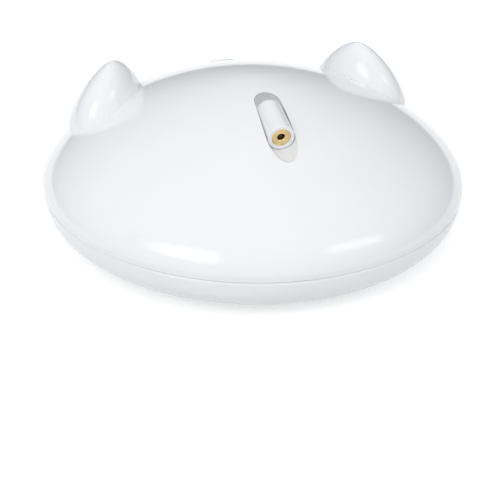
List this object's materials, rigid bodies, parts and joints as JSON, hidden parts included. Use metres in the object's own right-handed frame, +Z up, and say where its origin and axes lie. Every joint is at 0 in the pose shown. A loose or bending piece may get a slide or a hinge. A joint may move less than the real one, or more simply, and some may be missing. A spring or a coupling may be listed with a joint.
{
  "type": "automatic cat laser toy",
  "caption": "White domed floor toy with two moulded ears and a laser barrel that nods in a slot near the top, driven by a geared motor; a push button at the back starts it.",
  "frame": {"origin": "on the floor under the middle of the round body", "axes": "+Z up; the laser points towards -Y, the front; the ears stand at +X and -X and the power button is at +Y, the back"},
  "size_m": [0.15, 0.15, 0.0558],
  "materials": {
    "white_abs": "glossy moulded ABS",
    "grey_rubber": "soft moulded rubber",
    "plated_steel": "zinc or nickel plated",
    "cell_sleeve": "shrink sleeve",
    "natural_acetal": "moulded acetal",
    "copper_winding": "enamelled wire",
    "brass": "turned",
    "clear_acrylic": "moulded lens",
    "green_board": "solder mask",
    "black_plastic": "moulded",
    "blue_sleeve": "shrink sleeve",
    "socket_nylon": "moulded nylon"
  },
  "bodies": {
    "housing": {"upper_shell": "white_abs", "lower_shell": "white_abs", "rubber_feet": "grey_rubber", "case_screws": "plated_steel", "cell_1": "cell_sleeve", "cell_2": "cell_sleeve", "cell_3": "cell_sleeve", "contact_springs": "plated_steel", "contact_plates": "plated_steel", "gearbox_frame": "natural_acetal", "gearbox_cover": "natural_acetal", "gearbox_screws": "plated_steel", "gearbox_foot_screws": "plated_steel", "tilt_axle": "plated_steel", "second_axle": "plated_steel", "first_axle": "plated_steel", "motor_can": "plated_steel", "motor_end_cap": "natural_acetal", "tact_switch": "black_plastic", "switch_board": "green_board", "switch_screws": "plated_steel", "main_board": "green_board", "board_screws": "plated_steel", "control_chip": "black_plastic", "power_transistor": "black_plastic", "capacitor": "blue_sleeve", "battery_socket": "socket_nylon", "motor_socket": "socket_nylon", "laser_socket": "socket_nylon"},
    "laser": {"laser_barrel": "white_abs", "laser_cradle": "natural_acetal", "brass_housing": "brass", "collimating_lens": "clear_acrylic", "lens_spring": "plated_steel", "laser_diode": "brass", "diode_board": "green_board"},
    "second_gear": {"second_gear": "natural_acetal"},
    "first_gear": {"first_gear": "natural_acetal"},
    "rotor": {"motor_shaft": "plated_steel", "motor_pinion": "brass", "motor_armature": "copper_winding"},
    "power_button": {"power_button": "white_abs", "switch_plunger": "black_plastic"},
    "battery_door": {"battery_door": "white_abs", "door_screws": "plated_steel"}
  },
  "joints": [
    {"name": "barrel_tilt", "type": "hinge", "parent": "housing", "child": "laser", "pos_m": [0, -0.01475, 0.0407], "axis": [-1, 0, 0], "range_deg": [0, 8]},
    {"name": "second_gear_turn", "type": "hinge", "parent": "housing", "child": "second_gear", "pos_m": [0, -0.02076, 0.02162], "axis": [-1, 0, 0], "range_deg": [-45.5, 0]},
    {"name": "first_gear_turn", "type": "hinge", "parent": "housing", "child": "first_gear", "pos_m": [0, -0.03298, 0.01718], "axis": [-1, 0, 0], "range_deg": [0, 151.3]},
    {"name": "rotor_turn", "type": "hinge", "parent": "housing", "child": "rotor", "pos_m": [0, -0.03568, 0.0299], "axis": [-1, 0, 0], "range_deg": [-503.9, 0]},
    {"name": "button_press", "type": "slide", "parent": "housing", "child": "power_button", "axis": [0, -0.466, -0.8848], "range_m": [0, 0.0008], "stiffness_N_per_m": 400, "springref_m": -0.0006},
    {"name": "door_removal", "type": "slide", "parent": "housing", "child": "battery_door", "axis": [0, 0, -1], "range_m": [0, 0.03]}
  ],
  "couplings": [
    {"joint": "second_gear_turn", "follows": "barrel_tilt", "ratio": -5.6667},
    {"joint": "first_gear_turn", "follows": "barrel_tilt", "ratio": 18.889},
    {"joint": "rotor_turn", "follows": "barrel_tilt", "ratio": -62.963}
  ]
}
